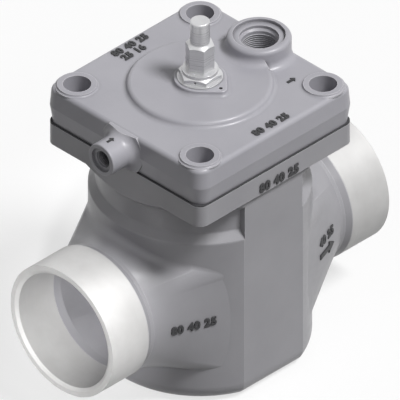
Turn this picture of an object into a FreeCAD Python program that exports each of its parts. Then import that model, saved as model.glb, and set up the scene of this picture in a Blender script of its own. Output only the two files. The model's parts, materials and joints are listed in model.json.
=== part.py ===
import FreeCAD, Part
import math
import os
from FreeCAD import Vector

# Pressure regulating valve with butt-weld ends: cast housing, bolted top cover,
# balanced piston module and manual opening spindle under a seal cap.
# Millimetres. X is the flow axis, Z is up along the spindle, and Z = 0 is the underside.

# Driving dimensions

# Weld ends
pipe_od = 88.9
pipe_wall = 5.6
stub_length = 31.5
stub_bevel = 1.5
stub_bevel_rise = 2.35
nozzle_reach = 19.8
port_height = 65.8

# Housing, outside
body_r = 69.2
body_flat_depth = 4.9
bottom_round = 11.5
shoulder_z = 119.6
neck_step = 4.3
neck_z = 125.7
shoulder_round = 2.0
spread_z = 139.9
flange_z = 149.6
flange_thickness = 15.0
flange_reach = 3.0
flange_corner = 6.6
pad_inset = 0.5
pad_run_in = 5.0
pad_cove = 2.2

# Inlet and outlet nozzles, outside
collar_length = 4.3
groove_depth = 2.05
groove_length = 2.5
nozzle_root_depth = 0.773
nozzle_side_inset = 7.7
nozzle_side_top = 27.9
nozzle_side_bottom = 39.9
nozzle_roof_inset = 11.5
nozzle_roof_h = 41.8
nozzle_crown_h = 43.1
nozzle_floor_inset = 12.7
nozzle_floor_h = 49.2
nozzle_keel_h = 49.7
nozzle_flank_angle = 28.0
nozzle_band_angle = 40.0
nozzle_root_round = 5.0

# Housing, inside
bore_depth = 6.0
passage_end_x = 48.0
passage_half_width = 46.0
passage_half_height = 34.0
passage_corner = 14.0
body_wall = 13.2
floor_thickness = 12.0
floor_round = 8.0
web_z = 60.0
web_thickness = 12.0
divider_x = 42.0
chamber_top_z = 112.0
ledge_thickness = 6.0
ledge_r = 42.0
neck_bore_r = 46.0
seat_bore_r = 37.0

# Cover bolting
bolt_inset = 15.6
bolt_hole_r = 8.75
tapping_r = 7.0
tapping_chamfer = 1.2

# Cover
gasket_thickness = 0.8
gasket_inner_r = 47.0
cover_overhang = 0.95
cover_bottom_draft = 1.85
cover_top_draft = 1.2
cover_parting_z = 177.9
cover_top_z = 191.2
cover_corner = 9.4
cover_edge_round = 3.0
spigot_r = 45.7
spigot_depth = 7.4
dome_r = 38.0
dome_z = 181.0
hub_r = 14.0
hub_z = 166.0
bolt_ring_r = 12.5
bolt_ring_height = 1.4
bolt_ring_cove = 1.3
plateau_z = 195.0
plateau_rim_r = 44.5
plateau_foot_r = 46.1
plateau_round = 2.8

# Pear-shaped spindle boss on the plateau
pear_r = 16.4
pear_tip_r = 4.0
pear_tip_y = -18.1
pear_z = 198.3
pear_cove = 2.4
pear_edge_round = 0.7
wire_hole_r = 1.25
wire_hole_depth = 6.0

# Pilot port on top of the cover
pilot_inset = 15.55
pilot_boss_r = 20.2
pilot_top_z = 204.4
pilot_edge_round = 2.8
pilot_cove = 4.9
pilot_recess_r = 16.4
pilot_recess_depth = 2.15
pilot_relief_r = 12.4
pilot_relief_depth = 2.2
pilot_thread_r = 11.2
pilot_depth = 22.0
pilot_under_z = 171.0
pilot_under_slope = 5.0
orifice_plug_r = 4.5
orifice_plug_length = 5.0
orifice_r = 0.9
orifice_key_r = 2.0
orifice_key_depth = 2.0
drill_r = 2.5
feed_drill_r = 2.0
drill_cover = 1.5

# Gauge port on the inlet side of the cover
gauge_r = 11.0
gauge_reach = 18.15
gauge_cove = 6.5
gauge_sink_in = 0.4
gauge_edge_round = 0.8
gauge_thread_r = 5.7
gauge_depth = 17.0
gauge_sink_r = 8.2
gauge_sink_depth = 1.6

# Gland, spindle and seal cap
gland_pocket_r = 9.0
gland_pocket_z = 182.0
packing_height = 5.5
gland_flange_r = 14.3
gland_flange_height = 0.6
gland_hex = 24.0
gland_hex_top = 203.0
gland_groove_z = 192.5
gland_nipple_r = 6.4
gland_nipple_height = 8.4
gland_wire_r = 0.75
gland_wire_depth = 4.0
spindle_thread_r = 5.0
spindle_stem_r = 4.0
spindle_shoulder_z = 180.5
spindle_bottom_z = 149.0
spindle_top_z = 226.0
spindle_nose_r = 3.0
spindle_nose_length = 1.8
spindle_square = 5.8
spindle_square_length = 9.0
foot_r = 6.4
cap_flange_r = 11.3
cap_flange_height = 1.9
cap_hex = 16.0
cap_hex_top = 224.3
cap_tip_r = 6.1
cap_top_z = 240.5
cap_tip_round = 1.0
cap_well_r = 4.7
cap_well_z = 229.0
cap_gasket_outer_r = 9.4
cap_gasket_height = 0.8

# Piston module
cage_r = 40.0
cage_wall = 3.5
cage_z = 75.0
cage_windows = 8
window_width = 18.0
window_height = 20.0
window_corner = 4.0
liner_z = 106.0
liner_bore_r = 35.0
liner_floor = 7.5
liner_top_gap = 0.4
liner_groove_z = 140.0
balance_hole_r = 3.0
balance_circle_r = 22.0
balance_holes = 4
bush_r = 10.0
bush_collar_r = 13.0
bush_collar = 2.0
seat_ring_bore_r = 29.0
piston_z = 126.0
piston_height = 20.0
piston_wall = 4.0
piston_crown = 9.0
piston_hub_r = 12.0
piston_ring_z = 139.0
piston_ring_height = 3.0
piston_ring_depth = 2.6
rod_r = 7.0
rod_tail_r = 5.0
rod_bottom_z = 40.0
rod_shoulder_z = 84.0
rod_seat_depth = 12.0
plate_r = 35.0
plate_z = 50.0
plate_seal_inner_r = 29.4
plate_seal_outer_r = 33.5
plate_seal_height = 3.0
plate_rim_drop = 0.5
cone_tip_r = 14.0
cone_hub_r = 10.5
cone_hub_height = 6.0
rod_nut_hex = 20.0
rod_nut_height = 8.0

# Closing spring
spring_r = 20.0
spring_wire_r = 1.75
spring_turns = 4.5
retainer_r = 24.0
retainer_thickness = 3.0
retainer_rim = 3.0
retainer_hole_r = 12.0

# Clearances
running = 0.05
fit = 0.1
seat_gap = 0.1
end_gap = 0.3
joint_gap = 0.2
o_ring_r = 1.3
o_ring_gap = 0.03

# Sizes that follow from the ones above

pipe_r = pipe_od / 2
pipe_bore_r = pipe_r - pipe_wall
weld_x = body_r + nozzle_reach
throat_r = pipe_r - groove_depth
nozzle_end_x = weld_x - collar_length - groove_length
body_flat_y = body_r - body_flat_depth
flat_half = math.sqrt(body_r ** 2 - body_flat_y ** 2)
neck_r = body_r - neck_step
nozzle_side_y = body_r - nozzle_side_inset
nozzle_root_x = math.sqrt((body_r - nozzle_root_depth) ** 2 - nozzle_side_y ** 2)
nozzle_roof_y = body_r - nozzle_roof_inset
nozzle_floor_y = body_r - nozzle_floor_inset
chamber_r = body_r - body_wall
flange_half = body_flat_y + flange_reach
bolt_half = body_r - bolt_inset
flange_top = flange_z + flange_thickness
cover_z = flange_top + gasket_thickness
cover_parting_half = flange_half + cover_overhang
cover_bottom_half = cover_parting_half - cover_bottom_draft
cover_top_half = cover_parting_half - cover_top_draft
pilot_x = cover_top_half - pilot_inset
gauge_end_x = -cover_parting_half - gauge_reach
spigot_z = cover_z - spigot_depth
web_top = web_z + web_thickness
seat_groove_z = web_z + web_thickness / 2
ledge_top = chamber_top_z + ledge_thickness
piston_top = piston_z + piston_height
spring_z = floor_thickness + retainer_thickness
cage_bore_r = cage_r - cage_wall
pilot_floor = pilot_top_z - pilot_depth
nipple_top = gland_hex_top + gland_nipple_height
bolt_places = [(x, y) for x in (-bolt_half, bolt_half) for y in (-bolt_half, bolt_half)]
z_axis = Vector(0, 0, 1)


# Helpers for turned, drilled and block forms

def cylinder(radius, low, high, x=0, y=0):
    return Part.makeCylinder(radius, high - low, Vector(x, y, low))


def tube(outer, inner, low, high):
    return cylinder(outer, low, high).cut(cylinder(inner, low, high))


def cylinder_x(radius, start, end, z):
    low = min(start, end)
    return Part.makeCylinder(radius, abs(end - start), Vector(low, 0, z), Vector(1, 0, 0))


def block(x0, x1, y0, y1, z0, z1):
    return Part.makeBox(x1 - x0, y1 - y0, z1 - z0, Vector(x0, y0, z0))


def softened(before, corner, after):
    """The points that stand for one corner: itself, or the start, middle and end of its rounding."""
    here = Vector(corner[0], 0, corner[1])
    if len(corner) == 2:
        return [here]
    radius = corner[2]
    back = (Vector(before[0], 0, before[1]) - here).normalize()
    onward = (Vector(after[0], 0, after[1]) - here).normalize()
    half_angle = back.getAngle(onward) / 2
    run = radius / math.tan(half_angle)
    reach = radius / math.sin(half_angle) - radius
    return [here + back * run, here + (back + onward).normalize() * reach, here + onward * run]


def outline(*corners):
    """Closed face in the XZ plane. A corner is (x, z), or (x, z, radius) where it is rounded."""
    count = len(corners)
    runs = [softened(corners[n - 1], corners[n], corners[(n + 1) % count]) for n in range(count)]
    edges = []
    for n, run in enumerate(runs):
        if len(run) == 3:
            edges.append(Part.Arc(*run).toShape())
        next_point = runs[(n + 1) % count][0]
        if run[-1].distanceToPoint(next_point) > 1e-6:
            edges.append(Part.LineSegment(run[-1], next_point).toShape())
    return Part.Face(Part.Wire(edges))


def turned(*corners):
    return outline(*corners).revolve(Vector(0, 0, 0), z_axis, 360)


def on_flow_axis(shape, side):
    """Lays a form turned about Z along the pipe axis, with its height becoming the distance from the spindle."""
    shape.rotate(Vector(0, 0, 0), Vector(0, 1, 0), 90 * side)
    shape.translate(Vector(0, 0, port_height))
    return shape


def cove(radius, size, level, bite=1.0):
    """Ring that fills the corner between an upright cylinder and the flat it stands on."""
    return turned(
        (radius - bite, level - bite),
        (radius + size, level - bite),
        (radius + size, level),
        (radius, level, size),
        (radius, level + size),
        (radius - bite, level + size),
    )


def rounded_square(half, corner, z):
    straight = half - corner
    reach = straight + corner * math.cos(math.radians(45))
    edges = []
    for quarter in range(4):
        side = Part.LineSegment(Vector(half, -straight, z), Vector(half, straight, z)).toShape()
        turn = Part.Arc(Vector(half, straight, z), Vector(reach, reach, z), Vector(straight, half, z)).toShape()
        for edge in (side, turn):
            edge.rotate(Vector(0, 0, 0), z_axis, 90 * quarter)
            edges.append(edge)
    return Part.Wire(edges)


def square_plate(half, corner, low, high):
    return Part.Face(rounded_square(half, corner, low)).extrude(Vector(0, 0, high - low))


def hexagon(across_flats, low, high):
    """Six-sided prism with two corners on the X axis."""
    corner_r = across_flats / math.sqrt(3)
    corners = [
        Vector(corner_r * math.cos(math.radians(60 * n)), corner_r * math.sin(math.radians(60 * n)), low)
        for n in range(7)
    ]
    return Part.Face(Part.makePolygon(corners)).extrude(Vector(0, 0, high - low))


def chamfered_hexagon(across_flats, low, high, top_r):
    """The same prism with its top corners turned off at 30 degrees."""
    corner_r = across_flats / math.sqrt(3) + 1
    drop = (corner_r - top_r) * math.tan(math.radians(30))
    turned_blank = turned((0, low), (corner_r, low), (corner_r, high - drop), (top_r, high), (0, high))
    return hexagon(across_flats, low, high).common(turned_blank)


def lies_level(edge, z):
    box = edge.BoundBox
    return abs(box.ZMin - z) < 0.01 and abs(box.ZMax - z) < 0.01


def lies_on_round_wall(edge, radius):
    first, last = edge.ParameterRange
    places = [edge.valueAt(first), edge.valueAt((first + last) / 2), edge.valueAt(last)]
    return all(abs(math.hypot(place.x, place.y) - radius) < 0.02 for place in places)


def round_edges(shape, radius, wanted):
    return shape.makeFillet(radius, [edge for edge in shape.Edges if wanted(edge)])


def o_ring(wall_r, z):
    """Ring that lies between a groove floor and the surrounding wall."""
    ring = Part.makeTorus(wall_r - o_ring_gap - o_ring_r, o_ring_r)
    ring.translate(Vector(0, 0, z))
    return ring


def o_ring_groove(wall_r, z):
    room = o_ring_r + o_ring_gap
    return tube(wall_r + 1, wall_r - 2 * room, z - room, z + room)


def write(name, shape):
    solids = shape.Solids
    result = solids[0] if len(solids) == 1 else Part.Compound(solids)
    result.exportStep(os.path.join("parts", name + ".step"))


# Housing

def housing_trunk():
    """Round body with a sloping shoulder, two flat sides and a well rounded bottom edge."""
    spread_r = neck_r + flange_z - spread_z
    round_body = turned(
        (0, 0),
        (body_r, 0, bottom_round),
        (body_r, shoulder_z, shoulder_round),
        (neck_r, neck_z, shoulder_round),
        (neck_r, spread_z),
        (spread_r, flange_z),
        (0, flange_z),
    )
    flat_sides = outline(
        (-body_flat_y, 0, bottom_round),
        (body_flat_y, 0, bottom_round),
        (body_flat_y, flange_z),
        (-body_flat_y, flange_z),
    ).extrude(Vector(0, 4 * body_r, 0))
    flat_sides.translate(Vector(0, -2 * body_r, 0))
    flat_sides.rotate(Vector(0, 0, 0), z_axis, 90)
    under_flange = square_plate(flange_half, flange_corner, spread_z, flange_z)
    overhang = block(-2 * body_r, 2 * body_r, -2 * body_r, 2 * body_r, spread_z, flange_z).cut(under_flange)
    return round_body.common(flat_sides).cut(overhang).fuse(side_pads())


def side_pads():
    """Carries the flat sides up past the shoulder and neck, with a small cove under the flange."""
    half = flat_half - pad_inset
    profile = outline(
        (-body_flat_y, shoulder_z - pad_run_in),
        (body_flat_y, shoulder_z - pad_run_in),
        (body_flat_y, flange_z, pad_cove),
        (body_flat_y + pad_cove, flange_z),
        (body_flat_y + pad_cove, flange_z + 1),
        (-body_flat_y - pad_cove, flange_z + 1),
        (-body_flat_y - pad_cove, flange_z),
        (-body_flat_y, flange_z, pad_cove),
    )
    pads = profile.extrude(Vector(0, 2 * half, 0))
    pads.translate(Vector(0, -half, 0))
    pads.rotate(Vector(0, 0, 0), z_axis, 90)
    return pads


def nozzle_section(x, points):
    """Closed wire across the pipe axis: eight arcs, each through a corner, a middle and the next corner."""
    places = [Vector(x, y, port_height + h) for y, h in points]
    places.append(places[0])
    arcs = [Part.Arc(*places[n:n + 3]).toShape() for n in range(0, 16, 2)]
    return Part.Wire(arcs)


def round_section(x, radius):
    flank = nozzle_flank_angle
    band = nozzle_band_angle
    middle = (flank + band) / 2
    right = [-flank, 0, flank, middle, band, 90]
    left = [180 - band, 180 - middle, 180 - flank, 180, 180 + flank, 180 + middle, 180 + band, 270]
    last = [360 - band, 360 - middle]
    angles = [math.radians(a) for a in right + left + last]
    return nozzle_section(x, [(radius * math.cos(a), radius * math.sin(a)) for a in angles])


def root_section(x):
    """The nozzle where it enters the body: wide, nearly flat sides, softly crowned top and bottom."""
    bulge = 0.3
    top_middle = ((nozzle_side_y + nozzle_roof_y) / 2 + 1.4, (nozzle_side_top + nozzle_roof_h) / 2 + 1.0)
    low_middle = ((nozzle_side_y + nozzle_floor_y) / 2 + 1.4, -(nozzle_side_bottom + nozzle_floor_h) / 2 - 1.0)
    half = [
        (nozzle_side_y, -nozzle_side_bottom),
        (nozzle_side_y + bulge, (nozzle_side_top - nozzle_side_bottom) / 2),
        (nozzle_side_y, nozzle_side_top),
        top_middle,
        (nozzle_roof_y, nozzle_roof_h),
        (0, nozzle_crown_h),
        (-nozzle_roof_y, nozzle_roof_h),
        (-top_middle[0], top_middle[1]),
        (-nozzle_side_y, nozzle_side_top),
        (-nozzle_side_y - bulge, (nozzle_side_top - nozzle_side_bottom) / 2),
        (-nozzle_side_y, -nozzle_side_bottom),
        (-low_middle[0], low_middle[1]),
        (-nozzle_floor_y, -nozzle_floor_h),
        (0, -nozzle_keel_h),
        (nozzle_floor_y, -nozzle_floor_h),
        low_middle,
    ]
    return nozzle_section(x, half)


def passage_section(x):
    """Inner passage where it reaches the chambers: a rounded rectangle."""
    straight_y = passage_half_width - passage_corner
    straight_h = passage_half_height - passage_corner
    reach = passage_corner * math.cos(math.radians(45))
    corner = (straight_y + reach, straight_h + reach)
    points = [
        (passage_half_width, -straight_h),
        (passage_half_width + 0.5, 0),
        (passage_half_width, straight_h),
        corner,
        (straight_y, passage_half_height),
        (0, passage_half_height + 0.5),
        (-straight_y, passage_half_height),
        (-corner[0], corner[1]),
        (-passage_half_width, straight_h),
        (-passage_half_width - 0.5, 0),
        (-passage_half_width, -straight_h),
        (-corner[0], -corner[1]),
        (-straight_y, -passage_half_height),
        (0, -passage_half_height - 0.5),
        (straight_y, -passage_half_height),
        (corner[0], -corner[1]),
    ]
    return nozzle_section(x, points)


def nozzle(side):
    throat = round_section(side * nozzle_end_x, throat_r)
    flare = Part.makeLoft([throat, root_section(side * nozzle_root_x)], True, True)
    collar = on_flow_axis(
        turned(
            (0, nozzle_end_x),
            (throat_r, nozzle_end_x),
            (throat_r, weld_x - collar_length),
            (pipe_r, weld_x),
            (0, weld_x),
        ),
        side,
    )
    return flare.fuse(collar)


def nozzle_passage(side):
    mouth_x = weld_x - bore_depth
    flare = Part.makeLoft(
        [round_section(side * mouth_x, pipe_bore_r), passage_section(side * passage_end_x)], True, True
    )
    return flare.fuse(cylinder_x(pipe_bore_r, side * mouth_x, side * (weld_x + 1), port_height))


def housing_cavity():
    """Lower chamber open to the outlet, upper chamber open to the inlet, and the stepped neck bore."""
    lower = turned((0, floor_thickness), (chamber_r, floor_thickness, floor_round), (chamber_r, web_z), (0, web_z))
    lower = lower.common(block(-divider_x, body_r, -body_r, body_r, 0, flange_top))
    upper = cylinder(chamber_r, web_top, chamber_top_z)
    upper = upper.common(block(-body_r, divider_x, -body_r, body_r, 0, flange_top))
    seat_bore = cylinder(seat_bore_r, web_z - 1, web_top + 1)
    ledge_bore = cylinder(ledge_r, chamber_top_z - 1, ledge_top + 1)
    neck_bore = cylinder(neck_bore_r, ledge_top, flange_top + 1)
    return [lower, upper, seat_bore, ledge_bore, neck_bore]


def tapped_hole(x, y):
    hole = cylinder(tapping_r, spread_z - 5, flange_top + 1, x, y)
    foot = Vector(x, y, flange_top - tapping_chamfer)
    sink = Part.makeCone(tapping_r, tapping_r + tapping_chamfer, tapping_chamfer, foot)
    return hole.fuse(sink)


def joins_nozzle_roof(edge):
    box = edge.BoundBox
    above_flank = port_height + throat_r / 2 < box.ZMin and box.ZMax < shoulder_z
    return above_flank and box.XLength > 1 and lies_on_round_wall(edge, body_r)


def housing():
    flange = square_plate(flange_half, flange_corner, flange_z, flange_top)
    solid = housing_trunk().fuse([nozzle(1), nozzle(-1), flange]).removeSplitter()
    solid = round_edges(solid, nozzle_root_round, joins_nozzle_roof)
    solid = solid.cut([nozzle_passage(1), nozzle_passage(-1)] + housing_cavity())
    return solid.cut([tapped_hole(x, y) for x, y in bolt_places])


def weld_stub(side):
    end_x = weld_x + stub_length
    return on_flow_axis(
        turned(
            (pipe_bore_r, weld_x),
            (pipe_r, weld_x),
            (pipe_r, end_x),
            (pipe_bore_r + stub_bevel_rise, end_x),
            (pipe_bore_r, end_x - stub_bevel),
        ),
        side,
    )


# Cover

def cover_gasket():
    sheet = square_plate(flange_half, flange_corner, flange_top, cover_z)
    sheet = sheet.cut(cylinder(gasket_inner_r, flange_top, cover_z))
    return sheet.cut([cylinder(bolt_hole_r, flange_top, cover_z, x, y) for x, y in bolt_places])


def cover_slab():
    """Drafted both ways from the parting line, with a rounded top edge."""
    bottom_corner = cover_corner - (cover_parting_half - cover_bottom_half)
    top_corner = cover_corner - (cover_parting_half - cover_top_half)
    parting = rounded_square(cover_parting_half, cover_corner, cover_parting_z)
    lower = Part.makeLoft([rounded_square(cover_bottom_half, bottom_corner, cover_z), parting], True, True)
    upper = Part.makeLoft([parting, rounded_square(cover_top_half, top_corner, cover_top_z)], True, True)
    upper = round_edges(upper, cover_edge_round, lambda edge: lies_level(edge, cover_top_z))
    return lower.fuse(upper)


def plateau():
    """Raised disc with a leaning edge, rounded over at the top and coved at the foot."""
    foot = cover_top_z - 1
    return turned(
        (0, foot),
        (plateau_foot_r + 3, foot),
        (plateau_foot_r + 3, cover_top_z),
        (plateau_foot_r, cover_top_z, plateau_round),
        (plateau_rim_r, plateau_z, plateau_round),
        (0, plateau_z),
    )


def pear_outline(z):
    """Circle about the spindle, drawn out by two tangents to a small rounded tip."""
    lean = math.asin((pear_r - pear_tip_r) / abs(pear_tip_y))
    wide = Vector(pear_r * math.cos(lean), -pear_r * math.sin(lean), z)
    narrow = Vector(pear_tip_r * math.cos(lean), pear_tip_y - pear_tip_r * math.sin(lean), z)
    wide_left = Vector(-wide.x, wide.y, z)
    narrow_left = Vector(-narrow.x, narrow.y, z)
    edges = [
        Part.Arc(wide, Vector(0, pear_r, z), wide_left).toShape(),
        Part.LineSegment(wide_left, narrow_left).toShape(),
        Part.Arc(narrow_left, Vector(0, pear_tip_y - pear_tip_r, z), narrow).toShape(),
        Part.LineSegment(narrow, wide).toShape(),
    ]
    return Part.Wire(edges)


def pear_boss():
    foot = plateau_z - 1
    boss = Part.Face(pear_outline(foot)).extrude(Vector(0, 0, pear_z - foot))
    return round_edges(boss, pear_edge_round, lambda edge: lies_level(edge, pear_z))


def spindle_platform():
    """Plateau and pear-shaped boss as one casting form, with a cove around the boss."""
    solid = plateau().fuse(pear_boss()).removeSplitter()
    reach = abs(pear_tip_y) + pear_tip_r + 1
    return round_edges(
        solid, pear_cove, lambda edge: lies_level(edge, plateau_z) and abs(edge.BoundBox.YMax) < reach
    )


def bolt_ring(x, y):
    ring = cylinder(bolt_ring_r, cover_top_z - 1, cover_top_z + bolt_ring_height)
    ring = ring.fuse(cove(bolt_ring_r, bolt_ring_cove, cover_top_z))
    ring.translate(Vector(x, y, 0))
    return ring


def pilot_boss():
    boss = turned(
        (0, pilot_under_z),
        (pilot_boss_r - pilot_under_slope, pilot_under_z),
        (pilot_boss_r, pilot_under_z + pilot_under_slope),
        (pilot_boss_r, pilot_top_z, pilot_edge_round),
        (0, pilot_top_z),
    )
    high_cove = cove(pilot_boss_r, pilot_cove, plateau_z)
    low_cove = cove(pilot_boss_r, pilot_cove, cover_top_z)
    for form in (boss, high_cove, low_cove):
        form.translate(Vector(pilot_x, 0, 0))
    lean = (plateau_foot_r - plateau_rim_r) / (plateau_z - cover_top_z)
    rise = plateau_z + pilot_cove - cover_top_z
    over_plateau = turned(
        (0, cover_top_z),
        (plateau_foot_r, cover_top_z),
        (plateau_foot_r - lean * rise, cover_top_z + rise),
        (0, cover_top_z + rise),
    )
    inside = square_plate(cover_top_half - cover_edge_round, cover_corner, cover_top_z - 1, pilot_top_z)
    return boss.fuse([high_cove.common(over_plateau), low_cove.common(inside)])


def pilot_port():
    """Recess, thread relief, thread bore and the drilling that leads to the space above the piston."""
    recess_z = pilot_top_z - pilot_recess_depth
    relief_z = recess_z - pilot_relief_depth
    step = pilot_relief_r - pilot_thread_r
    hollow = turned(
        (0, pilot_floor),
        (pilot_thread_r, pilot_floor),
        (pilot_thread_r, relief_z - step),
        (pilot_relief_r, relief_z),
        (pilot_relief_r, recess_z),
        (pilot_recess_r, recess_z),
        (pilot_recess_r, pilot_top_z + 1),
        (0, pilot_top_z + 1),
    )
    plug_hole = cylinder(orifice_plug_r, pilot_floor - orifice_plug_length, pilot_floor + 1)
    hollow = hollow.fuse(plug_hole)
    hollow.translate(Vector(pilot_x, 0, 0))
    plug_floor = pilot_floor - orifice_plug_length
    level = plug_floor - drill_r - drill_cover
    across = cylinder_x(drill_r, dome_r - 5, pilot_x + drill_r, level)
    down = cylinder(feed_drill_r, level, plug_floor + 1, pilot_x, 0)
    return [hollow, across.fuse(down)]


def gauge_boss():
    """Round boss with a wide cove where it leaves the cover's side."""
    root = cover_top_half - cover_edge_round
    face = cover_parting_half - gauge_sink_in
    boss = turned(
        (0, root),
        (gauge_r + gauge_cove, root),
        (gauge_r + gauge_cove, face),
        (gauge_r, face, gauge_cove),
        (gauge_r, -gauge_end_x, gauge_edge_round),
        (0, -gauge_end_x),
    )
    boss.rotate(Vector(0, 0, 0), Vector(0, 1, 0), -90)
    boss.translate(Vector(0, 0, cover_parting_z))
    return boss.common(block(gauge_end_x, 0, -body_r, body_r, cover_z, cover_top_z - gauge_sink_in))


def gauge_port():
    mouth = turned(
        (0, -gauge_end_x - gauge_depth),
        (gauge_thread_r, -gauge_end_x - gauge_depth),
        (gauge_thread_r, -gauge_end_x - gauge_sink_depth),
        (gauge_sink_r, -gauge_end_x - gauge_sink_depth),
        (gauge_sink_r, -gauge_end_x + 1),
        (0, -gauge_end_x + 1),
    )
    mouth.rotate(Vector(0, 0, 0), Vector(0, 1, 0), -90)
    mouth.translate(Vector(0, 0, cover_parting_z))
    return mouth.fuse(cylinder_x(drill_r, gauge_end_x + gauge_depth - 1, 5 - dome_r, cover_parting_z))


def cover():
    solid = cover_slab().fuse([spindle_platform(), pilot_boss(), gauge_boss()])
    solid = solid.fuse([bolt_ring(x, y) for x, y in bolt_places])
    solid = solid.fuse(cylinder(spigot_r, spigot_z, cover_z + 1))
    solid = solid.cut(cylinder(dome_r, spigot_z, dome_z))
    solid = solid.fuse(cylinder(hub_r, hub_z, dome_z + 1))
    solid = solid.cut(pilot_port() + [gauge_port()])
    solid = solid.cut([cylinder(bolt_hole_r, spigot_z, pilot_top_z, x, y) for x, y in bolt_places])
    solid = solid.cut(cylinder(wire_hole_r, pear_z - wire_hole_depth, pear_z + 1, 0, pear_tip_y))
    solid = solid.cut(cylinder(spindle_thread_r + running, hub_z - 1, gland_pocket_z + 1))
    return solid.cut(cylinder(gland_pocket_r, gland_pocket_z, pear_z + 1))


def orifice_plug():
    low = pilot_floor - orifice_plug_length
    plug = cylinder(orifice_plug_r, low, pilot_floor)
    plug = plug.cut([
        cylinder(orifice_r, low, pilot_floor),
        hexagon(2 * orifice_key_r, pilot_floor - orifice_key_depth, pilot_floor),
    ])
    plug.translate(Vector(pilot_x, 0, 0))
    return plug


# Gland, spindle and seal cap

def gland_nut():
    collar_z = pear_z + gland_flange_height
    low = gland_pocket_z + packing_height
    nut = cylinder(gland_pocket_r, low, pear_z)
    nut = nut.fuse([
        cylinder(gland_flange_r, pear_z, collar_z),
        chamfered_hexagon(gland_hex, collar_z, gland_hex_top, gland_hex / 2 - 0.4),
        cylinder(gland_nipple_r, gland_hex_top, nipple_top),
    ])
    groove = o_ring_groove(gland_pocket_r, gland_groove_z)
    face_angle = math.radians(210)
    out = Vector(math.cos(face_angle), math.sin(face_angle), 0)
    start = out * (gland_hex / 2 + 1)
    start.z = (collar_z + gland_hex_top) / 2
    wire_hole = Part.makeCylinder(gland_wire_r, gland_wire_depth + 1, start, out * -1)
    return nut.cut([groove, wire_hole, cylinder(spindle_stem_r + running, low, nipple_top)])


def packing_ring():
    return tube(gland_pocket_r, spindle_stem_r + running, gland_pocket_z, gland_pocket_z + packing_height)


def spindle():
    """Threaded lower length, plain stem through the packing, and a square for the key."""
    nose_z = spindle_bottom_z - spindle_nose_length
    bar = turned(
        (0, nose_z),
        (spindle_nose_r, nose_z),
        (spindle_nose_r, spindle_bottom_z),
        (spindle_thread_r - 1, spindle_bottom_z),
        (spindle_thread_r, spindle_bottom_z + 1),
        (spindle_thread_r, spindle_shoulder_z - 1),
        (spindle_stem_r, spindle_shoulder_z),
        (spindle_stem_r, spindle_top_z - 0.8),
        (spindle_stem_r - 0.8, spindle_top_z),
        (0, spindle_top_z),
    )
    half = spindle_square / 2
    key_z = spindle_top_z - spindle_square_length
    blank = block(-half, half, -half, half, key_z, spindle_top_z)
    above = cylinder(2 * spindle_stem_r, key_z, spindle_top_z + 1)
    return bar.cut(above.cut(blank))


def spindle_foot():
    """Swivel pad that the spindle turns in and that presses on the piston without turning."""
    low = piston_top + end_gap
    pocket_z = spindle_bottom_z - spindle_nose_length - joint_gap
    foot = cylinder(foot_r, low, spindle_bottom_z - joint_gap)
    return foot.cut(cylinder(spindle_nose_r + running, pocket_z, spindle_bottom_z))


def spindle_cap():
    hex_z = gland_hex_top + cap_flange_height
    cap = cylinder(cap_flange_r, gland_hex_top + seat_gap, hex_z)
    tip = turned(
        (0, cap_hex_top - 1),
        (cap_tip_r, cap_hex_top - 1),
        (cap_tip_r, cap_top_z, cap_tip_round),
        (0, cap_top_z),
    )
    cap = cap.fuse([chamfered_hexagon(cap_hex, hex_z, cap_hex_top, cap_tip_r + 0.3), tip])
    well = cylinder(cap_well_r, gland_hex_top, cap_well_z)
    socket = cylinder(gland_nipple_r + running, gland_hex_top, nipple_top + end_gap)
    gasket_seat = cylinder(cap_gasket_outer_r + fit, gland_hex_top, gland_hex_top + cap_gasket_height + seat_gap)
    return cap.cut([well, socket, gasket_seat])


def cap_gasket():
    low = gland_hex_top + seat_gap
    return tube(cap_gasket_outer_r, gland_nipple_r + fit, low, gland_hex_top + cap_gasket_height)


# Piston module

def cylinder_liner():
    """Sleeve hung in the neck, with a floor that guides the rod and drilled balance holes."""
    top = spigot_z - liner_top_gap
    liner = turned(
        (0, liner_z),
        (ledge_r - fit, liner_z),
        (ledge_r - fit, ledge_top + joint_gap),
        (neck_bore_r - fit, ledge_top + joint_gap),
        (neck_bore_r - fit, top),
        (0, top),
    )
    liner = liner.cut(cylinder(liner_bore_r, liner_z + liner_floor, top))
    groove = o_ring_groove(neck_bore_r, liner_groove_z)
    holes = [cylinder(bush_r, liner_z, top)]
    for n in range(balance_holes):
        hole = cylinder(balance_hole_r, liner_z, top, balance_circle_r, 0)
        hole.rotate(Vector(0, 0, 0), z_axis, 360 / balance_holes * (n + 0.5))
        holes.append(hole)
    return liner.cut([groove] + holes)


def module_cage():
    cage = tube(cage_r, cage_bore_r, cage_z, liner_z)
    middle = (cage_z + liner_z) / 2
    windows = []
    for n in range(cage_windows):
        window = block(
            cage_bore_r - 5,
            cage_r + 5,
            -window_width / 2,
            window_width / 2,
            middle - window_height / 2,
            middle + window_height / 2,
        )
        window = round_edges(window, window_corner, lambda edge: edge.BoundBox.XLength > cage_wall)
        window.rotate(Vector(0, 0, 0), z_axis, 360 / cage_windows * n)
        windows.append(window)
    return cage.cut(windows)


def rod_guide_bush():
    top = liner_z + liner_floor
    bush = cylinder(bush_r, liner_z, top).fuse(cylinder(bush_collar_r, liner_z - bush_collar, liner_z))
    return bush.cut(cylinder(rod_r + running, liner_z - bush_collar, top))


def seat_ring():
    ring = turned(
        (seat_ring_bore_r, web_z),
        (seat_bore_r - fit, web_z),
        (seat_bore_r - fit, web_top),
        (cage_r, web_top),
        (cage_r, cage_z),
        (seat_ring_bore_r + 2, cage_z),
        (seat_ring_bore_r, cage_z - 2),
    )
    return ring.cut(o_ring_groove(seat_bore_r, seat_groove_z))


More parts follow.
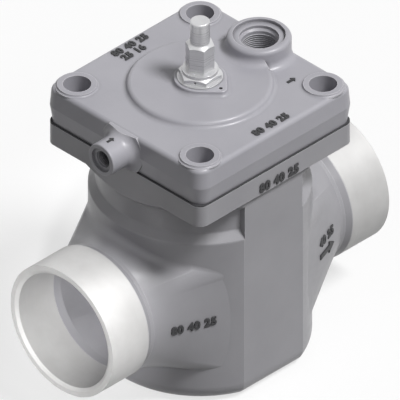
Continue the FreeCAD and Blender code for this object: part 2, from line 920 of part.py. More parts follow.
def piston():
    """Crown with a thin skirt, a rod hub below and a ring groove."""
    body = cylinder(liner_bore_r - fit, piston_z, piston_top)
    hollow_r = liner_bore_r - fit - piston_wall
    hollow = tube(hollow_r, piston_hub_r, piston_z, piston_top - piston_crown)
    groove_r = liner_bore_r - fit - piston_ring_depth
    groove = tube(liner_bore_r, groove_r, piston_ring_z, piston_ring_z + piston_ring_height)
    return body.cut([hollow, groove, cylinder(rod_r, piston_z, piston_z + rod_seat_depth)])


def piston_ring():
    inner = liner_bore_r - fit - piston_ring_depth
    ring = tube(liner_bore_r - running, inner, piston_ring_z, piston_ring_z + piston_ring_height)
    slit = block(inner - 1, liner_bore_r, -0.4, 0.4, piston_ring_z, piston_ring_z + piston_ring_height)
    return ring.cut(slit)


def piston_rod():
    return turned(
        (0, rod_bottom_z),
        (rod_tail_r, rod_bottom_z),
        (rod_tail_r, rod_shoulder_z),
        (rod_r, rod_shoulder_z),
        (rod_r, piston_z + rod_seat_depth),
        (0, piston_z + rod_seat_depth),
    )


def throttle_cone():
    """Tapered plug that fills the seat opening when closed and meters the flow as it drops."""
    low = web_z - plate_rim_drop
    base_r = seat_ring_bore_r - end_gap
    cone_top = rod_shoulder_z - cone_hub_height
    cone = turned(
        (rod_tail_r, low),
        (base_r, low),
        (base_r, low + 6),
        (cone_tip_r, cone_top),
        (cone_hub_r, cone_top),
        (cone_hub_r, rod_shoulder_z),
        (rod_tail_r, rod_shoulder_z),
    )
    return cone


def valve_plate():
    top = web_z - plate_rim_drop
    plate = turned(
        (rod_tail_r, plate_z),
        (plate_r - 4, plate_z),
        (plate_r, plate_z + 4),
        (plate_r, top),
        (rod_tail_r, top),
    )
    return plate.cut(tube(plate_seal_outer_r, plate_seal_inner_r, web_z - seat_gap - plate_seal_height, web_z))


def plate_seal():
    top = web_z - seat_gap
    return tube(plate_seal_outer_r, plate_seal_inner_r, top - plate_seal_height, top)


def rod_nut():
    nut = chamfered_hexagon(rod_nut_hex, 0, rod_nut_height, rod_nut_hex / 2 - 0.4)
    nut.rotate(Vector(0, 0, 0), Vector(1, 0, 0), 180)
    nut.translate(Vector(0, 0, plate_z))
    return nut.cut(cylinder(rod_tail_r, rod_bottom_z, plate_z))


# Closing spring

def closing_spring():
    low = spring_z + spring_wire_r + seat_gap
    high = plate_z - spring_wire_r - seat_gap
    pitch = (high - low) / spring_turns
    path = Part.makeLongHelix(pitch, high - low, spring_r)
    path.translate(Vector(0, 0, low))
    section = Part.Wire(Part.makeCircle(spring_wire_r, Vector(spring_r, 0, low), Vector(0, 1, 0)))
    return Part.Wire(path.Edges).makePipeShell([section], True, True)


def spring_retainer():
    disc = tube(retainer_r, retainer_hole_r, floor_thickness, spring_z)
    return disc.fuse(tube(retainer_r, retainer_r - 1.8, spring_z, spring_z + retainer_rim))


# Parts

os.makedirs("parts", exist_ok=True)

write("housing", housing())
write("inlet_stub", weld_stub(-1))
write("outlet_stub", weld_stub(1))
write("top_cover", cover())
write("cover_gasket", cover_gasket())
write("pilot_orifice", orifice_plug())
write("gland_nut", gland_nut())
write("gland_o_ring", o_ring(gland_pocket_r, gland_groove_z))
write("packing_ring", packing_ring())
write("spindle", spindle())
write("spindle_foot", spindle_foot())
write("spindle_cap", spindle_cap())
write("cap_gasket", cap_gasket())
write("cylinder_liner", cylinder_liner())
write("liner_o_ring", o_ring(neck_bore_r, liner_groove_z))
write("module_cage", module_cage())
write("rod_guide_bush", rod_guide_bush())
write("seat_ring", seat_ring())
write("seat_o_ring", o_ring(seat_bore_r, seat_groove_z))
write("piston", piston())
write("piston_ring", piston_ring())
write("piston_rod", piston_rod())
write("throttle_cone", throttle_cone())
write("valve_plate", valve_plate())
write("plate_seal", plate_seal())
write("rod_nut", rod_nut())
write("closing_spring", closing_spring())
write("spring_retainer", spring_retainer())
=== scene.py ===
# %% [markdown]
# # Dressing a pressure regulating valve
# The valve is a grey cast housing with pale weld ends, a square cover, two screwed ports and a
# small spindle head under a seal cap. Its solids come ready made and stay where they are. Here
# they get their finishes, their threads, a wound spring, the raised marks, and a white studio to
# stand in.

# %% Load the fixed model
import json
import math

import bmesh
import bpy
from mathutils import Matrix, Vector


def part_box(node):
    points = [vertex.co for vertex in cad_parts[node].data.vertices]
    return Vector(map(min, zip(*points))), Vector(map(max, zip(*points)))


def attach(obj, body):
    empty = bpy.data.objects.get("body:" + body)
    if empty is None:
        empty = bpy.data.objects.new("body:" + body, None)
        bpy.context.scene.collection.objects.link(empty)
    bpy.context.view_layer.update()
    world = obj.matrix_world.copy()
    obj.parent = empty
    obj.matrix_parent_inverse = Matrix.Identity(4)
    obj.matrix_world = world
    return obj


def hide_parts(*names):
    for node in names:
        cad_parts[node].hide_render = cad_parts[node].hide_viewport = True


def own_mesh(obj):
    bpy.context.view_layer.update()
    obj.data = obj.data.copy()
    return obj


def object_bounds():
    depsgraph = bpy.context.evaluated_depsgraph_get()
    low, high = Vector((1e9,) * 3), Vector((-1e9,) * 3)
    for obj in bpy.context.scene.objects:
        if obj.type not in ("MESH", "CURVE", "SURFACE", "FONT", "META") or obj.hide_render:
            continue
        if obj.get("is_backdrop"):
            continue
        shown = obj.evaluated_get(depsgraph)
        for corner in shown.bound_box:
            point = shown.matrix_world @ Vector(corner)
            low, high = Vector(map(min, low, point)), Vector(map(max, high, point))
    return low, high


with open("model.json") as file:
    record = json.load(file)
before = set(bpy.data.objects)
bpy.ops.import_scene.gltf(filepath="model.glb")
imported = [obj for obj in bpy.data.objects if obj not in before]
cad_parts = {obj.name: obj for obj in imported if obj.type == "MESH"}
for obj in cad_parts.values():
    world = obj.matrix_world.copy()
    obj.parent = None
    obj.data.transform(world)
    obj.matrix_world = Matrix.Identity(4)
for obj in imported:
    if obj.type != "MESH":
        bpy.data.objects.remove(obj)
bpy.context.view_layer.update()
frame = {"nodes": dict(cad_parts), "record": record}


def as_lists(corners):
    return [list(corner) for corner in corners]


print("nodes in the frame:", len(frame["nodes"]))

# %% [markdown]
# ## Places on the valve
# Each added piece sits on a piece of the frame. Its place could be typed in as a number, but the
# piece would be left behind when the solids change. So whatever can be read is read, from the
# boxes of those solids and from the mounts in the record. Blender works in metres here, and MM
# turns millimetres into them.

# %% Read the places
MM = 0.001
mounts = {mount["name"]: mount for mount in frame["record"]["mounts"]}
stub_low, stub_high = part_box("inlet_stub")
pipe_radius = (stub_high.z - stub_low.z) / 2
port_z = mounts["inlet_bore"]["pos_m"][2]
cover_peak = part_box("top_cover")[1].z
flange_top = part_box("cover_gasket")[0].z
print("pipe radius", round(pipe_radius / MM, 2), "mm, flange top", round(flange_top / MM, 1), "mm")

# %% [markdown]
# ## Wiring nodes
# Every finish is a small net of nodes. Each node could be made, set and linked on lines of its
# own, which soon hides what the net does. One helper gives a node's inputs either another node's
# output, which it links, or a plain value, and a second one makes the node first.


# %% Helpers for wiring nodes
def give(tree, node, inputs):
    for label, given in inputs.items():
        if isinstance(given, bpy.types.NodeSocket):
            tree.links.new(given, node.inputs[label])
        else:
            node.inputs[label].default_value = given


def add_node(tree, kind, inputs, **settings):
    node = tree.nodes.new(kind)
    for setting, choice in settings.items():
        setattr(node, setting, choice)
    give(tree, node, inputs)
    return node


def start_material(name):
    material = bpy.data.materials.new(name)
    material.use_nodes = True
    return material, material.node_tree, material.node_tree.nodes["Principled BSDF"]


# %% [markdown]
# ## Grain and tone
# A real casting or turned part is never one flat colour. A picture wrapped round the part could
# show that, but it has seams and its scale is a guess. So each finish starts from a Principled
# shader and gets its unevenness from noise that reads Object coordinates. Those are metres on
# the piece itself, so the grain has a true size and stays with the piece when it moves.

# %% Nodes for grain and tone
NOISE_ROUGHNESS = 0.55
NOISE_RANGE = (0.3, 0.7)
FULL_RANGE = (0.0, 1.0)
EVEN_SCALE = (1.0, 1.0, 1.0)


def object_coordinates(tree, scale=EVEN_SCALE):
    """Object coordinates stretched by a scale for each axis."""
    place = add_node(tree, "ShaderNodeTexCoord", {}).outputs["Object"]
    return add_node(tree, "ShaderNodeMapping", {"Vector": place, "Scale": scale}).outputs["Vector"]


def noise(tree, place, scale, detail=3.0):
    """Soft spots about 1 / scale metres wide."""
    inputs = {"Vector": place, "Scale": scale, "Detail": detail, "Roughness": NOISE_ROUGHNESS}
    return add_node(tree, "ShaderNodeTexNoise", inputs).outputs["Fac"]


def spread(tree, value, old, new):
    """The value, stretched from one range of numbers to another."""
    ends = {"From Min": old[0], "From Max": old[1], "To Min": new[0], "To Max": new[1]}
    return add_node(tree, "ShaderNodeMapRange", {"Value": value, **ends}).outputs["Result"]


def mixed(tree, factor, first, second, blend="MIX"):
    """A colour from two others, each a node's output or three plain numbers."""
    first, second = [(*one, 1.0) if isinstance(one, tuple) else one for one in (first, second)]
    inputs = {"Factor": factor, "A": first, "B": second}
    mix = add_node(tree, "ShaderNodeMix", inputs, data_type="RGBA", blend_type=blend)
    return mix.outputs["Result"]


# %% [markdown]
# ## Edges and corners
# A sand casting has soft edges, and its coat rubs thin along them. Real bevels would change the
# solids, which have to stay as they are. A Bevel node rounds only the shading. Where its normal
# leaves the true one there must be an edge, so it also finds where the coat is lightened: partly
# worn coat, partly a painted highlight on the edges. An Ambient Occlusion node finds the corners,
# and painted shade darkens the coat's colour there.

# %% Nodes for edges, corners and relief
EDGE_SAMPLES = 4
CORNER_SAMPLES = 6
OPENNESS_RANGE = (0.35, 0.95)
TURN_RANGE = (1.0, 0.9)


def soft_edges(tree, radius):
    bevel = add_node(tree, "ShaderNodeBevel", {"Radius": radius}, samples=EDGE_SAMPLES)
    return bevel.outputs["Normal"]


# Painted shade: an Ambient Occlusion factor that darkens the base colour in corners.
def painted_corner_shade(tree, reach, dark):
    """1 on open faces, falling towards dark in corners that light can hardly reach."""
    inputs = {"Distance": reach}
    nearness = add_node(tree, "ShaderNodeAmbientOcclusion", inputs, samples=CORNER_SAMPLES)
    return spread(tree, nearness.outputs["AO"], OPENNESS_RANGE, (dark, 1.0))


# Lighter edges: partly worn coat, partly a painted highlight on the rounded edges.
def worn_and_highlit_edges(tree, reach, gain):
    """0 on faces, rising where a rounded normal leaves the true one, which is along edges."""
    true_form = add_node(tree, "ShaderNodeNewGeometry", {})
    normals = {0: true_form.outputs["Normal"], 1: soft_edges(tree, reach)}
    compare = add_node(tree, "ShaderNodeVectorMath", normals, operation="DOT_PRODUCT")
    return spread(tree, compare.outputs["Value"], TURN_RANGE, (0.0, gain))


def bump(tree, height, strength, distance, normal):
    inputs = {"Height": height, "Strength": strength, "Distance": distance, "Normal": normal}
    return add_node(tree, "ShaderNodeBump", inputs).outputs["Normal"]


# %% [markdown]
# ## Finishes of the castings
# The housing and cover are steel castings under a thin grey coat. Up close such a coat shows the
# sand's grain, a softer unevenness over a few millimetres, and a slight change of gloss. One
# noise can't show all of that, so two of different size give the relief, and a third, very
# broad one shifts the grey a little. The cover is a shade lighter, as in the photo.

# %% Coated castings
CAST_CLOUD = 22.0
CAST_PEEL = 240.0
CAST_GRAIN = 900.0
CAST_EDGE = 0.45 * MM
COAT_GLOSS = (0.30, 0.40)
PEEL_RELIEF = (0.35, 0.12 * MM)
GRAIN_RELIEF = (0.45, 0.08 * MM)
# Painted shade in corners: how far it reaches and how dark it gets.
CORNER_SHADE_REACH = 3.0 * MM
CORNER_SHADE_DARK = 0.25
# Edges lightened partly as worn coat, partly as a painted highlight.
EDGE_WEAR_AND_HIGHLIGHT = 0.8
WORN_COAT_AND_HIGHLIGHT = (0.68, 0.67, 0.70)


def coated_casting(name, dark, light):
    material, tree, shader = start_material(name)
    place = object_coordinates(tree)
    cloud = spread(tree, noise(tree, place, CAST_CLOUD), NOISE_RANGE, FULL_RANGE)
    # Lighter edges, partly worn coat and partly painted highlight.
    wear_and_highlight = worn_and_highlit_edges(tree, 2 * CAST_EDGE, EDGE_WEAR_AND_HIGHLIGHT)
    coat = mixed(tree, wear_and_highlight, mixed(tree, cloud, dark, light), WORN_COAT_AND_HIGHLIGHT)
    # Painted shade, multiplied into the coat's colour in the corners.
    shade = painted_corner_shade(tree, CORNER_SHADE_REACH, CORNER_SHADE_DARK)
    grain = noise(tree, place, CAST_GRAIN, detail=2.0)
    peel = noise(tree, place, CAST_PEEL, detail=2.0)
    broad = bump(tree, peel, *PEEL_RELIEF, soft_edges(tree, CAST_EDGE))
    give(tree, shader, {
        "Base Color": mixed(tree, 1.0, coat, shade, blend="MULTIPLY"),
        "Roughness": spread(tree, peel, NOISE_RANGE, COAT_GLOSS),
        "Normal": bump(tree, grain, *GRAIN_RELIEF, broad),
    })
    return material


housing_coat = coated_casting("housing_coat", (0.335, 0.330, 0.352), (0.375, 0.370, 0.392))
cover_coat = coated_casting("cover_coat", (0.385, 0.379, 0.415), (0.425, 0.419, 0.455))
print("coats:", housing_coat.name, cover_coat.name)

# %% [markdown]
# ## Finishes of the turned parts
# A lathe leaves fine rings round its axis. An anisotropic shader could hint at them, but real
# rings also vary in gloss. Noise that is squeezed hard along the axis and left broad across it
# makes such rings and their gloss together. The weld ends were turned about the flow axis and
# everything else about the upright one. Each row of the table gives a darker and a lighter tone,
# that axis, how metallic the finish is, and how rough.

# %% Turned steel and brass
X_AXIS, Z_AXIS = 0, 2
RING_DENSITY = 2600.0
RING_STRETCH = 0.004
RING_RELIEF = (0.15, 0.03 * MM)
RING_SMOOTHER, RING_ROUGHER = 0.06, 0.08
STEEL_CLOUD = 45.0
STEEL_EDGE = 0.35 * MM


def turned_finish(name, dark, light, axis, metallic, rough):
    material, tree, shader = start_material(name)
    stretch = [RING_STRETCH] * 3
    stretch[axis] = 1.0
    rings = noise(tree, object_coordinates(tree, stretch), RING_DENSITY, detail=2.0)
    cloud = noise(tree, object_coordinates(tree), STEEL_CLOUD)
    gloss = (rough - RING_SMOOTHER, rough + RING_ROUGHER)
    give(tree, shader, {
        "Base Color": mixed(tree, spread(tree, cloud, NOISE_RANGE, FULL_RANGE), dark, light),
        "Roughness": spread(tree, rings, NOISE_RANGE, gloss),
        "Normal": bump(tree, rings, *RING_RELIEF, soft_edges(tree, STEEL_EDGE)),
        "Metallic": metallic,
    })
    return material


turned_looks = {
    "weld_end_steel": ((0.56, 0.555, 0.55), (0.64, 0.635, 0.63), X_AXIS, 0.25, 0.50),
    "bright_steel": ((0.58, 0.58, 0.59), (0.68, 0.68, 0.69), Z_AXIS, 0.65, 0.30),
    "module_steel": ((0.40, 0.40, 0.41), (0.48, 0.48, 0.49), Z_AXIS, 0.7, 0.34),
    "spring_steel": ((0.12, 0.12, 0.13), (0.17, 0.17, 0.18), Z_AXIS, 0.6, 0.40),
    "bush_brass": ((0.55, 0.40, 0.16), (0.65, 0.48, 0.21), Z_AXIS, 0.9, 0.30),
}
turned = {name: turned_finish(name, *look) for name, look in turned_looks.items()}
print("turned finishes:", ", ".join(turned))

# %% [markdown]
# ## Finishes of the seals and the mark paint
# Rubber, fibre sheet, white packing and the paint on the raised marks are matt. They are too
# small to need several layers, so one fine noise both breaks up their tone and gives a weak
# relief, which is all that such pieces show. Each row of the table gives the two tones, how
# rough the finish is, and how fine its speckle.

# %% Matt finishes
SPECKLE_RELIEF = (0.4, 0.05 * MM)
SEAL_EDGE = 0.15 * MM


def matt_finish(name, dark, light, rough, grain):
    material, tree, shader = start_material(name)
    speckle = noise(tree, object_coordinates(tree), grain)
    give(tree, shader, {
        "Base Color": mixed(tree, speckle, dark, light),
        "Roughness": rough,
        "Normal": bump(tree, speckle, *SPECKLE_RELIEF, soft_edges(tree, SEAL_EDGE)),
    })
    return material


matt_looks = {
    "seal_rubber": ((0.012, 0.012, 0.012), (0.03, 0.03, 0.03), 0.55, 1500.0),
    "gasket_fibre": ((0.025, 0.025, 0.028), (0.07, 0.07, 0.075), 0.8, 1200.0),
    "mark_paint": ((0.022, 0.022, 0.024), (0.045, 0.045, 0.048), 0.55, 900.0),
    "white_packing": ((0.70, 0.69, 0.65), (0.80, 0.79, 0.76), 0.5, 800.0),
}
matt = {name: matt_finish(name, *look) for name, look in matt_looks.items()}
print("matt finishes:", ", ".join(matt))

# %% [markdown]
# ## Finishing the solids
# Each solid could be given its finish by name, one after the other. The record already says
# which material slot each solid has, so a short table from slot to finish dresses them all, and
# a new solid needs no new line. Only the material slots change, never the meshes.

# %% Dress the solids
finishes = {
    "housing_cast": housing_coat,
    "cover_cast": cover_coat,
    "weld_end_steel": turned["weld_end_steel"],
    "bright_steel": turned["bright_steel"],
    "turned_steel": turned["module_steel"],
    "spring_steel": turned["spring_steel"],
    "bearing_brass": turned["bush_brass"],
    "seal_rubber": matt["seal_rubber"],
    "gasket_fibre": matt["gasket_fibre"],
    "white_packing": matt["white_packing"],
}
for entry in frame["record"]["subparts"]:
    solid = frame["nodes"][entry["node"]]
    solid.data.materials.clear()
    solid.data.materials.append(finishes[entry["material_slot"]])

# %% [markdown]
# ## Threads and a spring from one tree
# The two ports and the four tapped holes show a thread inside. A thread is one ridge that climbs
# a helix, and a coil spring is a round wire that does the same. A Screw modifier could make
# either, but Geometry Nodes make both from a few named numbers: the helix's radius, pitch and
# length, and the section's radius and sides. The tree puts one helix on each point of its input
# mesh, so it serves a single port and the four tapped holes alike.

# %% The helix tree
HELIX_INPUTS = {
    "Geometry": "NodeSocketGeometry",
    "Radius": "NodeSocketFloat",
    "Pitch": "NodeSocketFloat",
    "Length": "NodeSocketFloat",
    "Section": "NodeSocketFloat",
    "Sides": "NodeSocketInt",
    "Steps": "NodeSocketInt",
    "Material": "NodeSocketMaterial",
}


def helix_tree():
    tree = bpy.data.node_groups.new("wound_helix", "GeometryNodeTree")
    for label, kind in HELIX_INPUTS.items():
        tree.interface.new_socket(label, in_out="INPUT", socket_type=kind)
    tree.interface.new_socket("Geometry", in_out="OUTPUT", socket_type="NodeSocketGeometry")
    given = tree.nodes.new("NodeGroupInput").outputs
    lengths = {0: given["Length"], 1: given["Pitch"]}
    turns = add_node(tree, "ShaderNodeMath", lengths, operation="DIVIDE")
    helix = add_node(tree, "GeometryNodeCurveSpiral", {
        "Resolution": given["Steps"],
        "Rotations": turns.outputs["Value"],
        "Start Radius": given["Radius"],
        "End Radius": given["Radius"],
        "Height": given["Length"],
    })
    climb = {"Curve": helix.outputs["Curve"]}
    upright = add_node(tree, "GeometryNodeSetCurveNormal", climb, mode="Z_UP")
    section = add_node(tree, "GeometryNodeCurvePrimitiveCircle", {
        "Resolution": given["Sides"], "Radius": given["Section"],
    })
    swept = add_node(tree, "GeometryNodeCurveToMesh", {
        "Curve": upright.outputs["Curve"],
        "Profile Curve": section.outputs["Curve"],
        "Fill Caps": True,
    })
    copies = add_node(tree, "GeometryNodeInstanceOnPoints", {
        "Points": given["Geometry"], "Instance": swept.outputs["Mesh"],
    })
    real = add_node(tree, "GeometryNodeRealizeInstances", {"Geometry": copies.outputs["Instances"]})
    finish = add_node(tree, "GeometryNodeSetMaterial", {
        "Geometry": real.outputs["Geometry"], "Material": given["Material"],
    })
    add_node(tree, "NodeGroupOutput", {"Geometry": finish.outputs["Geometry"]})
    return tree


helix_nodes = helix_tree()
print("the helix tree has", len(helix_nodes.nodes), "nodes")

# %% [markdown]
# ## From a live tree to a plain piece
# A piece could keep its modifier, but the export wants a plain mesh. The tree's inputs are set by
# each socket's identifier before the object is evaluated. The evaluated mesh is then copied, its
# faces are turned outwards, and it becomes a piece that sits at the origin and rides on a body
# of the valve.

# %% Helpers that make plain pieces
MERGE_DISTANCE = 1e-7


def link_piece(name, mesh, body):
    piece = bpy.data.objects.new(name, mesh)
    bpy.context.scene.collection.objects.link(piece)
    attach(piece, body)
    print(name, "has", len(mesh.polygons), "faces")
    return piece


def outward(mesh):
    form = bmesh.new()
    form.from_mesh(mesh)
    bmesh.ops.remove_doubles(form, verts=form.verts, dist=MERGE_DISTANCE)
    bmesh.ops.recalc_face_normals(form, faces=form.faces)
    form.to_mesh(mesh)
    form.free()
    return mesh


def evaluated_mesh(source):
    """The finished mesh of an object, which is then deleted."""
    bpy.context.view_layer.update()
    ready = source.evaluated_get(bpy.context.evaluated_depsgraph_get())
    mesh = bpy.data.meshes.new_from_object(ready)
    bpy.data.objects.remove(source)
    return mesh


def wound_piece(name, places, turn, sizes, material, body):
    """One helix on each place, climbing along the turned Z axis, as a plain piece."""
    seed_mesh = bpy.data.meshes.new(name + "_places")
    seed_mesh.from_pydata([turn.inverted() @ Vector(place) for place in places], [], [])
    seed = bpy.data.objects.new(name + "_seed", seed_mesh)
    bpy.context.scene.collection.objects.link(seed)
    modifier = seed.modifiers.new("helix", "NODES")
    modifier.node_group = helix_nodes
    values = {**sizes, "Material": material}
    for socket in helix_nodes.interface.items_tree:
        if socket.in_out == "INPUT" and socket.name in values:
            modifier[socket.identifier] = values[socket.name]
    mesh = evaluated_mesh(seed)
    mesh.name = name
    mesh.transform(turn.to_4x4())
    return link_piece(name, outward(mesh), body)


# %% [markdown]
# ## Cutting the threads
# The bores are at core size, so the ridges stand on the wall and reach a little inwards. The
# pilot port is fine threaded, the gauge port has a small pipe thread, and the tapped holes are
# coarse. A four-sided section gives a ridge its two flanks, and forty steps a turn look round.

# %% Threads in the ports and the tapped holes
UPRIGHT = Matrix.Identity(3)
TOWARDS_INLET = Matrix.Rotation(-math.pi / 2, 3, "Y")
PILOT_PITCH = 1.5 * MM
GAUGE_PITCH = 1.337 * MM
TAPPED_PITCH = 2.0 * MM
RIDGE_SHARE = 0.36
RIDGE_SIDES = 4
RIDGE_STEPS = 40
THREAD_RUN_OUT = 2.0 * MM
PILOT_DEPTH = 22.0 * MM
GAUGE_SHARE = 0.9
TAPPED_DEPTH = 12.0 * MM
TAPPED_LEAD_IN = 1.5 * MM


def bore_threads(name, places, turn, radius, pitch, length, material):
    """Ridges that stand on the walls of bores of this radius."""
    sizes = {
        "Radius": radius, "Pitch": pitch, "Length": length, "Section": RIDGE_SHARE * pitch,
        "Sides": RIDGE_SIDES, "Steps": RIDGE_STEPS,
    }
    return wound_piece(name, places, turn, sizes, material, "valve_body")


pilot = mounts["pilot_port"]
pilot_foot = Vector((*pilot["pos_m"][:2], cover_peak - PILOT_DEPTH + THREAD_RUN_OUT))
bore_threads(
    "pilot_port_thread", [pilot_foot], UPRIGHT, pilot["dims"]["r_mm"] * MM, PILOT_PITCH,
    pilot["dims"]["length_mm"] * MM - 2 * THREAD_RUN_OUT, cover_coat,
)
gauge = mounts["gauge_port"]
gauge_run = GAUGE_SHARE * gauge["dims"]["length_mm"] * MM
gauge_start = Vector(gauge["pos_m"]) + Vector((gauge_run / 2, 0, 0))
bore_threads(
    "gauge_port_thread", [gauge_start], TOWARDS_INLET, gauge["dims"]["r_mm"] * MM, GAUGE_PITCH,
    gauge_run, cover_coat,
)
bolts = mounts["cover_bolts"]
bolt_x = bolts["dims"]["spacing_x_mm"] * MM / 2
bolt_y = bolts["dims"]["spacing_y_mm"] * MM / 2
tapped_start = flange_top - TAPPED_LEAD_IN - TAPPED_DEPTH
tapped_places = [(x, y, tapped_start) for x in (-bolt_x, bolt_x) for y in (-bolt_y, bolt_y)]
bore_threads(
    "tapped_hole_threads", tapped_places, UPRIGHT, bolts["dims"]["hole_r_mm"] * MM, TAPPED_PITCH,
    TAPPED_DEPTH, housing_coat,
)

# %% [markdown]
# ## The closing spring
# The spring stands between its retainer and the valve plate and gets shorter when the plate is
# pushed down. A solid that only slides can't do that, and this wound wire doesn't shorten either:
# it takes the solid's place and rides on the valve's body at one fixed length.

# %% Spring wire
SPRING_TURNS = 4.5
SPRING_WIRE = 3.5 * MM
WIRE_SIDES = 14
WIRE_STEPS = 72
spring_low, spring_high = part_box("closing_spring")
spring_run = spring_high.z - spring_low.z - SPRING_WIRE
spring_sizes = {
    "Radius": (spring_high.x - spring_low.x - SPRING_WIRE) / 2,
    "Pitch": spring_run / SPRING_TURNS,
    "Length": spring_run,
    "Section": SPRING_WIRE / 2,
    "Sides": WIRE_SIDES,
    "Steps": WIRE_STEPS,
}
spring = wound_piece(
    "closing_spring_wire", [(0.0, 0.0, spring_low.z + SPRING_WIRE / 2)], UPRIGHT,
    spring_sizes, turned["spring_steel"], "valve_body",
)
for face in spring.data.polygons:
    face.use_smooth = True
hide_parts("closing_spring")
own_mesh(spring)

# %% [markdown]
# ## Cast-on marks
# A foundry raises a few figures and a flow arrow on such a valve, and here they are painted
# dark. The figures are plain numbers: the pipe size and the pressure steps. Modelled letters
# could be drawn by hand, but a text curve with a little depth and a rounded edge is quicker and
# cleaner. It becomes a mesh first, and only then is moved to its face, so that its object stays
# at the origin.

# %% Raised figures on the cover and the flange
RIGHT, BACK, UP = (1, 0, 0), (0, 1, 0), (0, 0, 1)
FIGURE_DEPTH = 1.0 * MM
FIGURE_SHARE_OF_SIZE = 0.7
FIGURE_SPACING = 1.12
STROKE_SHARE = 0.035
EDGE_SHARE = 0.2
COVER_FIGURE_HEIGHT = 5.2 * MM
FLANGE_FIGURE_HEIGHT = 6.0 * MM
FLANGE_FIGURE_PLACE = (1.6 * MM, -67.3 * MM, 153.9 * MM)
TOP_BELOW_PEAK = 13.2 * MM
cover_top = cover_peak - TOP_BELOW_PEAK


def on_face(centre, right, up):
    """Matrix that lays the XY plane on a face, with its X along right and its Y along up."""
    right = Vector(right).normalized()
    up = Vector(up).normalized()
    matrix = Matrix((right, up, right.cross(up))).transposed().to_4x4()
    matrix.translation = Vector(centre)
    return matrix


def raised_figures(name, words, height, place):
    curve = bpy.data.curves.new(name, "FONT")
    curve.body = words
    curve.size = height / FIGURE_SHARE_OF_SIZE
    curve.align_x = "CENTER"
    curve.align_y = "CENTER"
    curve.offset = STROKE_SHARE * height
    curve.extrude = FIGURE_DEPTH / 2
    curve.bevel_depth = EDGE_SHARE * FIGURE_DEPTH
    curve.bevel_resolution = 1
    curve.space_character = FIGURE_SPACING
    text = bpy.data.objects.new(name + "_text", curve)
    bpy.context.scene.collection.objects.link(text)
    mesh = evaluated_mesh(text)
    mesh.transform(place)
    mesh.materials.clear()
    mesh.materials.append(matt["mark_paint"])
    return link_piece(name, outward(mesh), "valve_body")


cover_marks = [
    ("cover_figures_back_upper", "80 40 25", -0.2 * MM, 60.8 * MM),
    ("cover_figures_back_lower", "25 16", -4.2 * MM, 53.6 * MM),
    ("cover_figures_front", "80 40 25", 1.3 * MM, -60.5 * MM),
]
for name, words, x, y in cover_marks:
    raised_figures(name, words, COVER_FIGURE_HEIGHT, on_face((x, y, cover_top), RIGHT, BACK))
flange_place = on_face(FLANGE_FIGURE_PLACE, RIGHT, UP)
raised_figures("flange_figures", "80 40 25", FLANGE_FIGURE_HEIGHT, flange_place)

# %% [markdown]
# ## Figures on the nozzles
# A nozzle's side face leans outwards from the pipe towards the body. The lean could be worked
# out from the sizes, but four rays along Y measure it on the housing itself: two along the face
# and two up it. The figures are then laid flat on it.

# %% Figures on the leaning nozzle faces
RAY_START = -0.2
RAY_DIRECTION = Vector((0, 1, 0))
LEAN_REACH = 4 * MM
NOZZLE_FIGURE_HEIGHT = 5.4 * MM


def face_point(x, z):
    """Where a ray from the front meets the housing at this x and z."""
    housing = frame["nodes"]["housing"]
    hit, spot, normal, index = housing.ray_cast(Vector((x, RAY_START, z)), RAY_DIRECTION)
    return spot


def on_nozzle(x, reach, z):
    near, far = face_point(x - reach, z), face_point(x + reach, z)
    high, low = face_point(x, z + LEAN_REACH), face_point(x, z - LEAN_REACH)
    right = (far - near).normalized()
    up = (high - low).normalized()
    up = (up - right * up.dot(right)).normalized()
    return on_face((near + far) / 2, right, up)


nozzle_marks = [
    ("inlet_nozzle_figures", "80 40 25", -57 * MM, 12 * MM, -2 * MM),
    ("outlet_nozzle_figures", "40 25", 60 * MM, 8 * MM, 6.5 * MM),
]
for name, words, x, reach, rise in nozzle_marks:
    raised_figures(name, words, NOZZLE_FIGURE_HEIGHT, on_nozzle(x, reach, port_z + rise))

# %% [markdown]
# ## Flow arrows
# An arrow on the outlet nozzle and two small ones on the cover show which way the fluid goes. A
# text font has no arrow of the right form, so each is a flat outline of seven points that bmesh
# pushes out and bevels, before it is laid on its face as the figures are.

# %% Raised arrows
NOZZLE_ARROW_DEPTH = 1.4 * MM
COVER_ARROW_PLACE = (43.6 * MM, -36 * MM, cover_top)
BOSS_ARROW_PLACE = (-78 * MM, 0, 188.9 * MM)


def raised_arrow(name, length, width, depth, place):
    half, shaft, neck = length / 2, width / 5, length / 8
    points = [
        (-half, -shaft), (neck, -shaft), (neck, -width / 2), (half, 0),
        (neck, width / 2), (neck, shaft), (-half, shaft),
    ]
    form = bmesh.new()
    face = form.faces.new([form.verts.new((x, y, -depth / 2)) for x, y in points])
    pushed = bmesh.ops.extrude_face_region(form, geom=[face])
    moved = [item for item in pushed["geom"] if isinstance(item, bmesh.types.BMVert)]
    bmesh.ops.translate(form, verts=moved, vec=(0, 0, depth))
    edge = EDGE_SHARE * depth
    bmesh.ops.bevel(form, geom=form.edges[:], offset=edge, segments=2, affect="EDGES")
    mesh = bpy.data.meshes.new(name)
    form.to_mesh(mesh)
    form.free()
    mesh.transform(place)
    mesh.materials.append(matt["mark_paint"])
    return link_piece(name, outward(mesh), "valve_body")


nozzle_place = on_nozzle(x=60 * MM, reach=8 * MM, z=port_z - 3 * MM)
cover_place = on_face(COVER_ARROW_PLACE, RIGHT, BACK)
boss_place = on_face(BOSS_ARROW_PLACE, RIGHT, BACK)
arrows = [
    ("outlet_nozzle_arrow", 20 * MM, 9 * MM, NOZZLE_ARROW_DEPTH, nozzle_place),
    ("cover_arrow", 7 * MM, 5 * MM, FIGURE_DEPTH, cover_place),
    ("gauge_boss_arrow", 6 * MM, 4 * MM, FIGURE_DEPTH, boss_place),
]
for name, length, width, depth, place in arrows:
    raised_arrow(name, length, width, depth, place)

